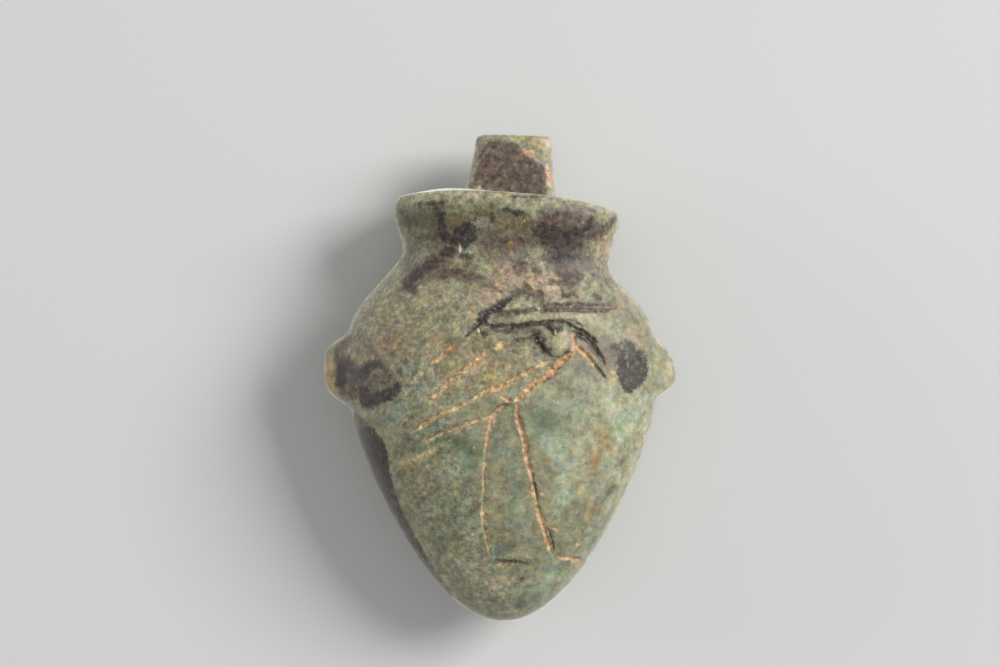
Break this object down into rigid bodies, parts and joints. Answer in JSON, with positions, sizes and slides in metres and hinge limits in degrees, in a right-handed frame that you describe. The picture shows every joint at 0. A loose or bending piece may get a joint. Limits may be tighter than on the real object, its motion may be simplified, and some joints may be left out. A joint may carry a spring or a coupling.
{
  "type": "heart amulet",
  "caption": "Vase-shaped heart amulet of carved green stone, with a flared rim, a bored lug on top, rounded side lugs and a heron incised on the front.",
  "frame": {"origin": "on the surface that the amulet lies on, under the middle of its outline", "axes": "+Y from the point of the heart to the suspension lug, +Z out of the carved front, +X to the right of the carved front"},
  "size_m": [0.04, 0.055, 0.017],
  "materials": {
    "green_stone": "carved, polished and worn mottled green stone with dark patina and ochre earth in the cuts"
  },
  "bodies": {
    "root": {"heart_amulet": "green_stone"}
  },
  "joints": []
}
